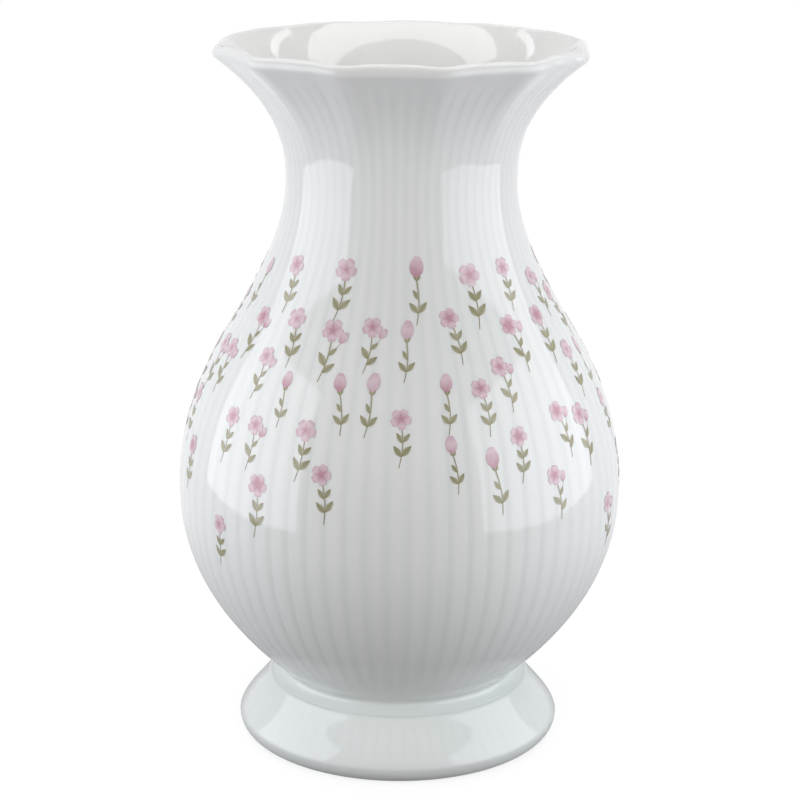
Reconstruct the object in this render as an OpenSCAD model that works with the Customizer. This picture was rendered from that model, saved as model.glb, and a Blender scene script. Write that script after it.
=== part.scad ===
// Ribbed porcelain vase: a round-bellied cast vessel with a scalloped mouth,
// luted with slip to a hollow flared foot.
// Millimetres. Origin at the centre of the standing face, +Z up, front towards -Y.

/* [Whole vase] */

// Height from the standing face to the top of the edge
total_height = 200; // [160:1:320]

/* [Belly] */

// Outside diameter of the vessel at its seat on the foot
waist_diameter = 62.4; // [24:0.2:150]
// Widest outside diameter, over the ribs
belly_diameter = 126.2; // [60:0.2:260]

/* [Shoulder and neck] */

// Outside diameter half way up the shoulder, where the curve turns hollow
shoulder_diameter = 97.4; // [40:0.2:220]
// Rise from the widest place of the belly to there
shoulder_rise = 46.5; // [15:0.1:110]
// Narrowest outside diameter of the neck
neck_diameter = 64.4; // [24:0.2:160]
// Rise from half way up the shoulder to the narrowest place
neck_rise = 42.2; // [15:0.1:110]

/* [Mouth] */

// Outside diameter over the lobes of the mouth
mouth_diameter = 101.6; // [30:0.2:240]
// Rise from the narrowest place of the neck to the top
mouth_rise = 37.7; // [12:0.1:90]
// Thickness of the rounded edge of the mouth
lip_thickness = 3.9; // [2:0.1:12]
// Number of lobes round the mouth
lobes = 12; // [4:4:24]
// How far each notch between two lobes steps in from the edge
notch_depth = 1.1; // [0:0.1:4]
// How far the edge dips at each notch
notch_dip = 0.5; // [0:0.1:3]
// Turn of the first notch from +X, in degrees
notch_turn = 12; // [0:0.5:30]
// Length of the creases that run down the outside from the notches
crease_length = 34; // [10:1:160]
// Length over which the notches fade inside the mouth
inner_crease_length = 12; // [4:1:60]
// Height of the smooth band under the edge, where the ribs end
lip_band = 5.4; // [2:0.1:14]

/* [Ribs] */

// Ribs in each lobe
ribs_per_lobe = 6; // [2:1:9]
// Depth of the valleys between the ribs at the belly. It falls with the square of the ribs' width.
rib_depth = 0.25; // [0.1:0.05:1.5]
// Depth of the valleys between the reeds of the foot
reed_depth = 0.1; // [0.05:0.05:1.5]
// Length over which a rib rises to its full depth at each end
rib_fade = 5; // [1:0.5:15]

/* [Walls] */

// Wall of the vessel below the mouth
wall_thickness = 3.6; // [1.5:0.1:10]
// Thickness of the floor at its centre
floor_thickness = 5; // [2:0.1:14]
// How far the underside of the vessel bulges below its seat
dome_depth = 4; // [1:0.1:10]

/* [Slip between vessel and foot] */

// Thickness of the layer of slip
joint_thickness = 0.6; // [0.3:0.05:2]
// Height of the hollow fillet of slip above the seat
fillet_height = 3; // [0.5:0.1:5]
// Width of the slip and of the foot's top, inwards from the waist
seat_width = 3.8; // [2:0.1:14]

/* [Foot] */

// Height of the foot's top
foot_height = 16.6; // [8:0.1:50]
// Widest outside diameter of the foot
foot_diameter = 93; // [40:0.2:200]
// Height of the widest place of the foot
edge_height = 4.4; // [2:0.1:14]
// How far the ledge at the top of the foot stands out from the waist
ledge_width = 6.3; // [1:0.1:12]
// How far the rounded lower edge draws in to the flat standing face
edge_undercut = 2.7; // [0.5:0.1:10]
// Width of the flat standing face
standing_width = 3.5; // [1:0.1:10]

/* [Hidden] */

$fn = 144;

// Proportions of the curves
waist_slope_share = 1.24;
shoulder_slope_share = -0.62;
mouth_slope_share = 1.28;
third_share = 1 / 3;
notch_power = 2;
lobe_fade_power = 1.6;
dip_fade_power = 3;
lip_wall_power = 2;
rib_width_power = 2;

// Rings and columns of the skins. A rib has three columns: its valley and the two sides of its crest.
valleys = lobes * ribs_per_lobe;
fine_columns = valleys * 3;
outside_bands = [5, 5, 4, 5];
mouth_bands = 6;
dome_share = 0.6;
flare_bands = 5;
edge_bands = 2;
curve_steps = 8;
cavity_steps = 40;

// Radii and heights worked out from the sizes above
belly_radius = belly_diameter / 2;
shoulder_radius = shoulder_diameter / 2;
neck_radius = neck_diameter / 2;
waist_radius = waist_diameter / 2;
lip_radius = lip_thickness / 2;
seat_height = foot_height + joint_thickness;
neck_height = total_height - mouth_rise;
shoulder_height = neck_height - neck_rise;
belly_height = shoulder_height - shoulder_rise;
crease_end = total_height - crease_length;
inner_crease_end = total_height - inner_crease_length;
lip_centre_radius = mouth_diameter / 2 - lip_radius;
lip_centre_height = total_height - lip_radius;
flare_angle = atan(mouth_slope_share);
flare_top_radius = lip_centre_radius + lip_radius * cos(flare_angle);
flare_top_height = lip_centre_height - lip_radius * sin(flare_angle);
seat_inner_radius = waist_radius - seat_width;
dome_radius = seat_inner_radius - joint_thickness;
dome_height = seat_height - dome_depth;
floor_height = dome_height + floor_thickness;
fillet_top = seat_height + fillet_height;
foot_radius = foot_diameter / 2;
ledge_radius = waist_radius + ledge_width;
standing_radius = foot_radius - edge_undercut;
recess_radius = standing_radius - standing_width;
rib_bottom = fillet_top;
hair_share = 0.025;
neck_step = wall_thickness * hair_share;
rib_top = total_height - lip_band;

// Curves
function mix(a, b, t) = a + (b - a) * t;
function bow(a, b, c, t) = mix(mix(a, b, t), mix(b, c, t), t);
function sweep(a, b, c, d, t) = mix(bow(a, b, c, t), bow(b, c, d, t), t);
function part_of(x, lo, hi) = max(0, min(1, (x - lo) / (hi - lo)));
function ease(t) = sweep(0, 0, 1, 1, t);

// Each row: height, radius and slope of the vessel's outside
outline = [
    [seat_height, waist_radius, waist_slope_share],
    [belly_height, belly_radius, 0],
    [shoulder_height, shoulder_radius, shoulder_slope_share],
    [neck_height, neck_radius, 0],
    [flare_top_height, flare_top_radius, mouth_slope_share]
];

function row_at(z, i = 0) = z > outline[i + 1][0] && i + 2 < len(outline) ? row_at(z, i + 1) : i;
function handles(a, b) = [
    a[1],
    a[1] + a[2] * (b[0] - a[0]) * third_share,
    b[1] - b[2] * (b[0] - a[0]) * third_share,
    b[1]
];
function radius_on(a, b, z) = let (h = handles(a, b))
    sweep(h[0], h[1], h[2], h[3], part_of(z, a[0], b[0]));
function slope_on(a, b, z) = let (h = handles(a, b))
    bow(h[1] - h[0], h[2] - h[1], h[3] - h[2], part_of(z, a[0], b[0])) / ((b[0] - a[0]) * third_share);
function skin_radius(z) = let (i = row_at(z)) radius_on(outline[i], outline[i + 1], z);
function skin_slope(z) = let (i = row_at(z)) slope_on(outline[i], outline[i + 1], z);

// Ribs and lobes. An angle is counted from a notch.
function notch(angle) = pow((1 + cos(angle * lobes)) / 2, notch_power);
function valley(angle) = max(0, cos(angle * valleys));
function lobe_size(z, end) = notch_depth * pow(part_of(z, end, total_height), lobe_fade_power);
function dip_size(z) = notch_dip * pow(part_of(z, crease_end, total_height), dip_fade_power);
function rib_size(z) = rib_depth * pow(skin_radius(z) / belly_radius, rib_width_power)
    * ease(part_of(z, rib_bottom, rib_bottom + rib_fade))
    * ease(part_of(rib_top - z, 0, rib_fade));

// A ring is [radius, height, columns, valley depth, notch depth]. A ring of one column is a point.
function ring_points(r) = [
    for (i = [0 : r[2] - 1])
        let (
            a = 360 * i / r[2],
            reach = r[0] - r[3] * valley(a) - r[4] * notch(a)
        )
        [reach * cos(a + notch_turn), reach * sin(a + notch_turn), r[1] - dip_size(r[1]) * notch(a)]
];
function starts(rings, k = 0, at = 0) = k == len(rings) ? [] : [at, each starts(rings, k + 1, at + rings[k][2])];

// Triangles between the rings that start at points a and b. A ring may be one point, or have a third of
// the other's columns, and the rings run from the middle of the underside up the outside.
function band(a, na, b, nb) =
    na == 1 ? [for (i = [0 : nb - 1]) [a, b + i, b + (i + 1) % nb]] :
    nb == 1 ? [for (i = [0 : na - 1]) [a + i, b, a + (i + 1) % na]] :
    na == nb ? strip(a, b, na) :
    na > nb ? narrowing(a, na, b, nb) : widening(a, na, b, nb);
function strip(a, b, n) = [
    for (i = [0 : n - 1])
        let (j = (i + 1) % n)
        each [[a + i, b + i, b + j], [a + i, b + j, a + j]]
];
function narrowing(a, na, b, nb) = [
    for (i = [0 : nb - 1])
        let (j = (i + 1) % nb, first = a + i * 3, last = a + j * 3)
        each [
            [first, b + i, first + 1],
            [first + 1, b + i, b + j],
            [first + 1, b + j, first + 2],
            [first + 2, b + j, last]
        ]
];
function widening(a, na, b, nb) = [
    for (i = [0 : na - 1])
        let (j = (i + 1) % na, first = b + i * 3, last = b + j * 3)
        each [
            [a + i, first, first + 1],
            [a + i, first + 1, a + j],
            [a + j, first + 1, first + 2],
            [a + j, first + 2, last]
        ]
];

module skin(rings) {
    at = starts(rings);
    polyhedron(
        points = [for (r = rings) each ring_points(r)],
        faces = [
            for (k = [0 : len(rings) - 2])
                each band(at[k], rings[k][2], at[k + 1], rings[k + 1][2])
        ]
    );
}

// The vessel: its underside, its ribbed outside, its edge and the lobed inside of its mouth
rib_heights = [
    fillet_top,
    for (row = [0 : len(outside_bands) - 1], i = [1 : outside_bands[row]])
        mix(max(fillet_top, outline[row][0]), outline[row + 1][0], i / outside_bands[row])
];
function wall_at(z) = mix(wall_thickness, lip_thickness,
    pow(part_of(z, neck_height, flare_top_height), lip_wall_power));
function inside_point(z) = let (s = skin_slope(z), n = sqrt(1 + s * s), w = wall_at(z))
    [skin_radius(z) - w / n, z + w * s / n];
function inside_ring(z) = let (p = inside_point(z))
    [p[0], p[1], valleys, 0, lobe_size(p[1], inner_crease_end)];
function plain_ring(radius, height, columns) = [radius, height, columns, 0, 0];
lip_angles = [-flare_angle / 2, 0, 30, 60, 90, 90 + (90 - flare_angle) / 2];

body_rings = [
    plain_ring(0, dome_height, 1),
    plain_ring(dome_radius * dome_share, mix(dome_height, seat_height, pow(dome_share, 3)), valleys),
    plain_ring(dome_radius, seat_height, valleys),
    plain_ring(waist_radius, seat_height, fine_columns),
    for (z = rib_heights)
        [skin_radius(z), z, fine_columns, rib_size(z), lobe_size(z, crease_end)],
    for (a = lip_angles)
        let (z = lip_centre_height + lip_radius * sin(a))
        [lip_centre_radius + lip_radius * cos(a), z, valleys, 0, lobe_size(z, crease_end)],
    for (i = [0 : mouth_bands])
        inside_ring(mix(flare_top_height, neck_height, i / mouth_bands)),
    plain_ring(0, neck_height, 1)
];

// The hollow from the neck down, turned smooth, a hair narrower than the mouth where the two meet
function cavity_point(z) = let (p = inside_point(z)) [p[0] - neck_step, p[1]];
cavity_edge = cavity_point(fillet_top);

module cavity() {
    rotate_extrude()
        polygon([
            for (i = [0 : curve_steps])
                let (t = i / curve_steps)
                [cavity_edge[0] * t, mix(floor_height, cavity_edge[1], pow(t, 3))],
            for (i = [1 : cavity_steps])
                cavity_point(mix(fillet_top, neck_height, i / cavity_steps)),
            [cavity_point(neck_height)[0], neck_height + lip_thickness],
            [0, neck_height + lip_thickness]
        ]);
}

module body() {
    color("white")
        difference() {
            skin(body_rings);
            cavity();
        }
}

// The foot's outside, from the ledge down over the flare and round the lower edge
flare_out_shares = [0, 0.165, 0.934, 1];
flare_down_shares = [0, 0.246, 0.754, 1];
edge_under_share = 1.08;
edge_radius_share = 0.92;
edge_width = edge_undercut / (1 - sqrt(1 - 1 / (edge_under_share * edge_under_share)));
function flare_radius(t) = mix(ledge_radius, foot_radius,
    sweep(flare_out_shares[0], flare_out_shares[1], flare_out_shares[2], flare_out_shares[3], t));
function flare_height(t) = mix(foot_height, edge_height,
    sweep(flare_down_shares[0], flare_down_shares[1], flare_down_shares[2], flare_down_shares[3], t));
function reed_size(t) = reed_depth * ease(min(1, t / third_share)) * ease(min(1, (1 - t) / third_share));

foot_rings = [
    plain_ring(0, edge_height - edge_height * edge_under_share, 1),
    for (i = [edge_bands : -1 : 1])
        let (a = 90 * i / edge_bands)
        plain_ring(
            foot_radius - edge_width + edge_width * cos(a),
            edge_height - edge_height * edge_under_share * sin(a),
            fine_columns
        ),
    for (i = [flare_bands : -1 : 0])
        let (t = i / flare_bands)
        [flare_radius(t), flare_height(t), fine_columns, reed_size(t), 0],
    plain_ring(0, foot_height, 1)
];

// The hollow under the foot, with the flat standing face as the top of its flange
recess_in_shares = [0, 0.1, 0.5, 1];
recess_up_shares = [0, 0.3, 0.78, 1];
function recess_point(t) = [
    mix(recess_radius, seat_inner_radius,
        sweep(recess_in_shares[0], recess_in_shares[1], recess_in_shares[2], recess_in_shares[3], t)),
    mix(0, foot_height,
        sweep(recess_up_shares[0], recess_up_shares[1], recess_up_shares[2], recess_up_shares[3], t))
];

module recess() {
    rotate_extrude()
        polygon([
            [0, -edge_height],
            [foot_diameter, -edge_height],
            [foot_diameter, 0],
            for (i = [0 : curve_steps]) recess_point(i / curve_steps),
            [seat_inner_radius, foot_height + edge_height],
            [0, foot_height + edge_height]
        ]);
}

module foot() {
    color("whitesmoke")
        difference() {
            skin(foot_rings);
            recess();
        }
}

// The slip: a flat ring in the joint, wiped to a hollow fillet outside
fillet_foot_radius = mix(skin_radius(fillet_top), ledge_radius, edge_radius_share);
fillet_bow_share = 0.1;

module slip_joint() {
    color("snow")
        rotate_extrude()
            polygon([
                [seat_inner_radius, foot_height],
                [fillet_foot_radius, foot_height],
                for (i = [0 : curve_steps])
                    let (t = i / curve_steps)
                    [
                        bow(
                            fillet_foot_radius,
                            mix(waist_radius, fillet_foot_radius, fillet_bow_share),
                            skin_radius(fillet_top),
                            t
                        ),
                        bow(mix(foot_height, seat_height, third_share), seat_height, fillet_top, t)
                    ],
                [waist_radius, seat_height],
                [seat_inner_radius, seat_height]
            ]);
}

body();
foot();
slip_joint();
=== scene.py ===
"""Ribbed porcelain vase with a scalloped mouth and scattered printed blossoms, dressed for a render.

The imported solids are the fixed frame. The vessel, the slip and the foot are turned again here with a
finer skin, the mould's ribs and lobes are pressed into them, and the printed flowers are laid on top.
Every size is in millimetres until it reaches Blender.
"""

import logging
import math
import random
from collections.abc import Callable, Iterable, Sequence
from dataclasses import dataclass, field
from enum import Enum
from functools import cached_property
from typing import Any

import bmesh
import bpy
from mathutils import Euler, Matrix, Quaternion, Vector


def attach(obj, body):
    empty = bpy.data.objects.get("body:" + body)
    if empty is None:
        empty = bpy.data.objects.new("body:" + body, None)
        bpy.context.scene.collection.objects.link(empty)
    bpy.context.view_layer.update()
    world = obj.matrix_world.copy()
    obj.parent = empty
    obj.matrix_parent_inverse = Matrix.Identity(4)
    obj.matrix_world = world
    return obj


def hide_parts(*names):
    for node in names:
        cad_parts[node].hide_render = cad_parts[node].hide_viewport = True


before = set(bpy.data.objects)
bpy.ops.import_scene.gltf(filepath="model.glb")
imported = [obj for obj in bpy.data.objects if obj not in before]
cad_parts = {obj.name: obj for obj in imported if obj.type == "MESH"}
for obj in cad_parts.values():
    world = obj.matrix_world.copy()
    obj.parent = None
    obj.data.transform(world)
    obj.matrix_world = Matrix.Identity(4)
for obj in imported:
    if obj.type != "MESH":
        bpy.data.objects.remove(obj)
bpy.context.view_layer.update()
MM = 0.001
# How near two vertices lie to be welded, and how far off its row one may lie, in millimetres
WELD_REACH = 0.008
SAME_ROW = 0.01
# The angle in degrees from which an edge is shaded as a sharp one
CREASE_ANGLE = 50
LOG = logging.getLogger("vase")

# A radius or a bearing with a height, or a place on the floor
Point = tuple[float, float]
# A width with a height, or two values that belong together
Pair = tuple[float, float]
Node = bpy.types.Node
Object = bpy.types.Object
Socket = bpy.types.NodeSocket
Tree = bpy.types.NodeTree


# Small tools


def mix(a: float, b: float, t: float) -> float:
    """The value a share t of the way from a to b."""
    return a + (b - a) * t


def bow(a: float, b: float, c: float, t: float) -> float:
    """A quadratic curve from a to c, drawn towards b."""
    return mix(mix(a, b, t), mix(b, c, t), t)


def sweep(points: Sequence[float], t: float) -> float:
    """A cubic curve through the first and last of four values, drawn towards the middle two."""
    a, b, c, d = points
    return mix(bow(a, b, c, t), bow(b, c, d, t), t)


def part_of(x: float, low: float, high: float) -> float:
    """How far x lies between low and high, from 0 to 1."""
    return min(1.0, max(0.0, (x - low) / (high - low)))


def ease(t: float) -> float:
    """A share that starts and ends slowly."""
    return t * t * (3 - 2 * t)


def steps(count: int, first: int = 1) -> list[float]:
    """The shares at which a count of equal steps ends, or from 0 on where first is 0."""
    return [i / count for i in range(first, count + 1)]


def linear(colour: str) -> tuple[float, float, float, float]:
    """Turns an sRGB hex value into linear red, green, blue and full alpha.

    Args:
        colour: six hex digits after a number sign.

    Returns:
        The four channels that Blender's sockets take.
    """
    channels = [int(colour[i : i + 2], 16) / 255 for i in (1, 3, 5)]
    red, green, blue = [c / 12.92 if c <= 0.04045 else ((c + 0.055) / 1.055) ** 2.4 for c in channels]
    return red, green, blue, 1.0


WHITE = linear("#FFFFFF")


def add_node(tree: Tree, kind: str, inputs: dict[str | int, Any] | None = None, **settings: Any) -> Node:
    """Adds a node with its settings, its constants and its links.

    Args:
        tree: the node tree that takes it.
        kind: the node's type without the prefix ShaderNode.
        inputs: a constant or another node's output for each named or numbered socket.
        **settings: properties of the node itself.

    Returns:
        The new node.
    """
    node = tree.nodes.new("ShaderNode" + kind)
    for name, value in settings.items():
        setattr(node, name, value)
    for name, value in (inputs or {}).items():
        socket = node.inputs[name]
        if isinstance(value, Socket):
            tree.links.new(value, socket)
        else:
            socket.default_value = value
    return node


def colour_ramp(tree: Tree, factor: Socket, stops: dict[float, str]) -> Socket:
    """Adds a colour ramp.

    Args:
        tree: the node tree that takes it.
        factor: the output that drives the ramp.
        stops: an sRGB hex value for each place between 0 and 1, in order.

    Returns:
        The ramp's colour output.
    """
    node = add_node(tree, "ValToRGB", {"Fac": factor})
    places = list(stops)
    elements = node.color_ramp.elements
    elements[0].position, elements[1].position = places[0], places[-1]
    for place in places[1:-1]:
        elements.new(place)
    for element, place in zip(elements, places):
        element.color = linear(stops[place])
    return node.outputs["Color"]


def melt_normal(tree: Tree, place: Socket) -> Socket:
    """Adds the direction that the melted glaze's own surface faces, which levels the ribs under it.

    Args:
        tree: the node tree that takes it.
        place: the object's own coordinates.

    Returns:
        The direction, built from the melt attribute: its outward, sideways and upward shares.
    """
    melt = add_node(tree, "Attribute", attribute_name="melt").outputs["Vector"]
    shares = add_node(tree, "SeparateXYZ", {"Vector": melt}).outputs
    flat = add_node(tree, "VectorMath", {0: place, 1: (1, 1, 0)}, operation="MULTIPLY").outputs[0]
    out = add_node(tree, "VectorMath", {0: flat}, operation="NORMALIZE").outputs[0]
    side = add_node(tree, "VectorMath", {0: (0, 0, 1), 1: out}, operation="CROSS_PRODUCT").outputs[0]
    facing = add_node(tree, "CombineXYZ", {"Z": shares["Z"]}).outputs[0]
    for way, share in ((out, shares["X"]), (side, shares["Y"])):
        part = add_node(tree, "VectorMath", {0: way, "Scale": share}, operation="SCALE").outputs[0]
        facing = add_node(tree, "VectorMath", {0: facing, 1: part}, operation="ADD").outputs[0]
    settings = {"vector_type": "NORMAL", "convert_from": "OBJECT", "convert_to": "WORLD"}
    return add_node(tree, "VectorTransform", {"Vector": facing}, **settings).outputs[0]


def glass_over(shader: Node, roughness: float, ior: float, normal: Socket) -> None:
    """Lays a clear glassy coat over a matt body colour.

    Args:
        shader: the Principled shader, whose colour is the body's.
        roughness: how rough the coat is.
        ior: the coat's index of refraction.
        normal: the direction that the coat faces.
    """
    constants = {
        "Roughness": 0.6,
        "Specular IOR Level": 0.0,
        "Coat Weight": 1.0,
        "Coat Roughness": roughness,
        "Coat IOR": ior,
    }
    for name, value in constants.items():
        shader.inputs[name].default_value = value
    shader.id_data.links.new(normal, shader.inputs["Coat Normal"])


# Modelling by hand


def deselect_all() -> None:
    """Goes to object mode and leaves nothing selected."""
    if bpy.context.object and bpy.context.object.mode != "OBJECT":
        bpy.ops.object.mode_set(mode="OBJECT")
    bpy.ops.object.select_all(action="DESELECT")


def pick(*objects: Object) -> None:
    """Selects these objects alone and makes the first of them active.

    Args:
        *objects: the objects to select.
    """
    deselect_all()
    for obj in objects:
        obj.select_set(True)
    bpy.context.view_layer.objects.active = objects[0]


def enter_edit(obj: Object) -> None:
    """Opens an object in edit mode, for its vertices, with none of them selected.

    Args:
        obj: the object to open.
    """
    pick(obj)
    bpy.ops.object.mode_set(mode="EDIT")
    bpy.ops.mesh.select_mode(type="VERT")
    bpy.ops.mesh.select_all(action="DESELECT")


def leave_edit() -> None:
    """Goes back to object mode."""
    bpy.ops.object.mode_set(mode="OBJECT")


def select_points(obj: Object, wanted: Callable[[Vector], bool]) -> None:
    """Selects some vertices of the open object and no others.

    Args:
        obj: the object that is open in edit mode.
        wanted: the test that a vertex's place in millimetres has to pass.
    """
    bpy.ops.mesh.select_all(action="DESELECT")
    mesh = bmesh.from_edit_mesh(obj.data)
    for vertex in mesh.verts:
        vertex.select = wanted(vertex.co / MM)
    mesh.select_flush(True)
    bmesh.update_edit_mesh(obj.data)


def apply_modifier(obj: Object, kind: str, **settings: Any) -> None:
    """Adds a modifier and applies it.

    Args:
        obj: the object that it changes.
        kind: the modifier's type.
        **settings: properties of the modifier.
    """
    pick(obj)
    modifier = obj.modifiers.new(kind.lower(), kind)
    for name, value in settings.items():
        setattr(modifier, name, value)
    bpy.ops.object.modifier_apply(modifier=modifier.name)


def weigh(obj: Object, name: str, weights: Iterable[float]) -> None:
    """Makes a vertex group.

    Args:
        obj: the object that takes it.
        name: the group's name.
        weights: the weight of each vertex, where 0 leaves it out.
    """
    group = obj.vertex_groups.new(name=name)
    for index, weight in enumerate(weights):
        if weight > 0:
            group.add([index], weight, "REPLACE")


def push_in(obj: Object, group: str, depth: float, direction: str) -> None:
    """Pushes a vertex group in by its weights' shares of a depth, along the normals or an axis."""
    settings = {"direction": direction, "strength": -depth * MM, "mid_level": 0, "vertex_group": group}
    apply_modifier(obj, "DISPLACE", **settings)


def store(obj: Object, name: str, shares: Sequence[float]) -> None:
    """Stores a share for each vertex as an attribute."""
    obj.data.attributes.new(name, "FLOAT", "POINT").data.foreach_set("value", shares)


def store_melt(obj: Object, shares: Sequence[Vector]) -> None:
    """Stores the melt attribute, the way the glaze's surface faces at each vertex."""
    melt = obj.data.attributes.new("melt", "FLOAT_VECTOR", "POINT")
    melt.data.foreach_set("vector", [part for share in shares for part in share])


def facings(obj: Object) -> list[Vector]:
    """Reads each vertex's normal in a form that is the same in every lobe.

    Args:
        obj: the object to read.

    Returns:
        The outward, sideways and upward shares of each normal.
    """
    shares = []
    for vertex in obj.data.vertices:
        normal = vertex.normal
        out = Vector((vertex.co.x, vertex.co.y, 0)).normalized()
        shares.append(Vector((normal.dot(out), normal.y * out.x - normal.x * out.y, normal.z)))
    return shares


def copy_of(obj: Object, place: Matrix) -> Object:
    """Copies a shape with a mesh of its own.

    Args:
        obj: the shape, which stays as it is.
        place: where the copy is set down.

    Returns:
        The copy, whose place is in its mesh.
    """
    twin = obj.copy()
    twin.data = obj.data.copy()
    bpy.context.collection.objects.link(twin)
    twin.data.transform(place)
    return twin


def join(name: str, parts: Sequence[Object]) -> Object:
    """Joins parts into one object.

    Args:
        name: the object's name.
        parts: the parts, which are used up.

    Returns:
        The joined object.
    """
    pick(*parts)
    if len(parts) > 1:
        bpy.ops.object.join()
    joined = bpy.context.object
    joined.name = joined.data.name = name
    return joined


def remove(*objects: Object) -> None:
    """Deletes objects that are spent."""
    for obj in objects:
        bpy.data.objects.remove(obj)


def turned(name: str, profile: Sequence[Point], columns: int, bearing: float, sector: float) -> Object:
    """Draws half a section by extruding one point, and spins it through one sector of the round.

    Args:
        name: the new object's name.
        profile: radius and height of each point of the half section, in millimetres.
        columns: how many steps the spin takes.
        bearing: the angle from +X, in degrees, of the plane that the section is drawn in.
        sector: how far the spin goes, in degrees.

    Returns:
        The turned sector.
    """
    outwards = Vector((math.cos(math.radians(bearing)), math.sin(math.radians(bearing)), 0))
    places = [(outwards * radius + Vector((0, 0, height))) * MM for radius, height in profile]
    deselect_all()
    bpy.ops.mesh.primitive_plane_add(size=MM, location=places[0])
    obj = bpy.context.object
    obj.name = obj.data.name = name
    bpy.ops.object.transform_apply(location=True, rotation=False, scale=False)
    enter_edit(obj)
    bpy.ops.mesh.select_all(action="SELECT")
    bpy.ops.mesh.merge(type="CENTER")
    for here, there in zip(places, places[1:]):
        bpy.ops.mesh.extrude_region_move(TRANSFORM_OT_translate={"value": there - here})
    bpy.ops.mesh.select_all(action="SELECT")
    turn = math.radians(sector)
    bpy.ops.mesh.spin(steps=columns, dupli=False, angle=turn, center=(0, 0, 0), axis=(0, 0, 1))
    leave_edit()
    return obj


def ring_of(name: str, sector: Object, count: int) -> Object:
    """Copies a sector all round and welds the copies into one closed skin.

    Args:
        name: the new object's name.
        sector: the sector, which stays as it is.
        count: how many sectors fill the round.

    Returns:
        The closed object, with its normals outwards.
    """
    ring = join(name, [copy_of(sector, Matrix.Rotation(math.tau * i / count, 4, "Z")) for i in range(count)])
    enter_edit(ring)
    bpy.ops.mesh.select_all(action="SELECT")
    bpy.ops.mesh.remove_doubles(threshold=WELD_REACH * MM)
    bpy.ops.mesh.normals_make_consistent(inside=False)
    leave_edit()
    return ring


# Finishes


@dataclass(frozen=True)
class Coating:
    """A finish: a material whose nodes are laid out by the dress method of its own class."""

    name: str

    def make(self) -> bpy.types.Material:
        """Builds the material.

        Returns:
            The new material.
        """
        material = bpy.data.materials.new(self.name)
        material.use_nodes = True
        tree = material.node_tree
        self.dress(tree, tree.nodes["Principled BSDF"], add_node(tree, "TexCoord").outputs["Object"])
        return material

    def dress(self, tree: Tree, shader: Node, place: Socket) -> None:
        """Lays out the nodes, which each finish does in its own way."""
        raise NotImplementedError


@dataclass(frozen=True)
class Glaze(Coating):
    """Feldspar glaze, dipped and fired to a clear gloss over the white body.

    The eye sees a cool white with sharp, slightly wavy reflections. Where the melt ran together, in the
    valleys of the ribs and along the foot, it is thicker and a little greener, and that darker colour is
    also painted shade in the valleys and in the crease above the foot.
    """

    name: str = "feldspar_glaze_on_porcelain"
    crest: str = "#EBEBEA"
    cloud: str = "#E8E9E8"
    # The darker, greener colour of thick glaze and how much of it is mixed in; it is also painted shade in
    # the valleys and creases
    pooled_and_shaded: str = "#CED9D6"
    pool_share: float = 0.23
    roughness: float = 0.06
    ior: float = 1.52
    cloud_mm: float = 38.0
    cloud_detail: float = 3.0
    cloud_span: Pair = (0.35, 0.65)
    # Width and height of the waves that the melt froze in, and of its finer peel
    wave_mm: float = 9.0
    wave_height_mm: float = 0.03
    peel_mm: float = 1.6
    peel_height_mm: float = 0.0012
    wave_detail: float = 1.0

    def dress(self, tree: Tree, shader: Node, place: Socket) -> None:
        """Lays out the nodes.

        Args:
            tree: the material's node tree.
            shader: its Principled shader.
            place: the object's own coordinates.
        """
        noises = []
        fine = self.wave_detail
        for size, detail in ((self.cloud_mm, self.cloud_detail), (self.wave_mm, fine), (self.peel_mm, fine)):
            pattern = {"Vector": place, "Scale": 1 / (size * MM), "Detail": detail}
            noises.append(add_node(tree, "TexNoise", pattern).outputs[0])
        clouds, wave, peel = noises
        body = colour_ramp(tree, clouds, dict(zip(self.cloud_span, (self.crest, self.cloud))))
        # The stored share darkens the colour towards the pooled one: thicker glaze, and painted shade in the
        # valleys and creases
        pool = add_node(tree, "Attribute", attribute_name="pool").outputs["Fac"]
        depth = add_node(tree, "Math", {0: pool, 1: self.pool_share}, operation="MULTIPLY").outputs[0]
        # Inputs 6 and 7 and output 2 of a Mix node are the ones for colours
        blend = {"Factor": depth, 6: body, 7: linear(self.pooled_and_shaded)}
        colour = add_node(tree, "Mix", blend, data_type="RGBA").outputs[2]
        facing = melt_normal(tree, place)
        for noise, height in ((wave, self.wave_height_mm), (peel, self.peel_height_mm)):
            relief = {"Height": noise, "Strength": 1.0, "Distance": height * MM, "Normal": facing}
            facing = add_node(tree, "Bump", relief).outputs[0]
        tree.links.new(colour, shader.inputs["Base Color"])
        glass_over(shader, self.roughness, self.ior, facing)


@dataclass(frozen=True)
class Biscuit(Coating):
    """Bare fired porcelain, sponged before the firing and rubbed flat after it.

    The eye sees a dry, faintly warm white with a fine grain and no reflection.
    """

    name: str = "bare_biscuit_porcelain"
    light: str = "#E2DFD8"
    dark: str = "#D2CEC5"
    roughness: float = 0.75
    grain_mm: float = 0.35
    grain_detail: float = 4.0
    grain_height_mm: float = 0.02
    grain_span: Pair = (0.3, 0.7)

    def dress(self, tree: Tree, shader: Node, place: Socket) -> None:
        """Lays out the nodes.

        Args:
            tree: the material's node tree.
            shader: its Principled shader.
            place: the object's own coordinates.
        """
        pattern = {"Vector": place, "Scale": 1 / (self.grain_mm * MM), "Detail": self.grain_detail}
        grain = add_node(tree, "TexNoise", pattern).outputs[0]
        colour = colour_ramp(tree, grain, dict(zip(self.grain_span, (self.dark, self.light))))
        relief = {"Height": grain, "Strength": 1.0, "Distance": self.grain_height_mm * MM}
        tree.links.new(colour, shader.inputs["Base Color"])
        tree.links.new(add_node(tree, "Bump", relief).outputs[0], shader.inputs["Normal"])
        shader.inputs["Roughness"].default_value = self.roughness


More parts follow.
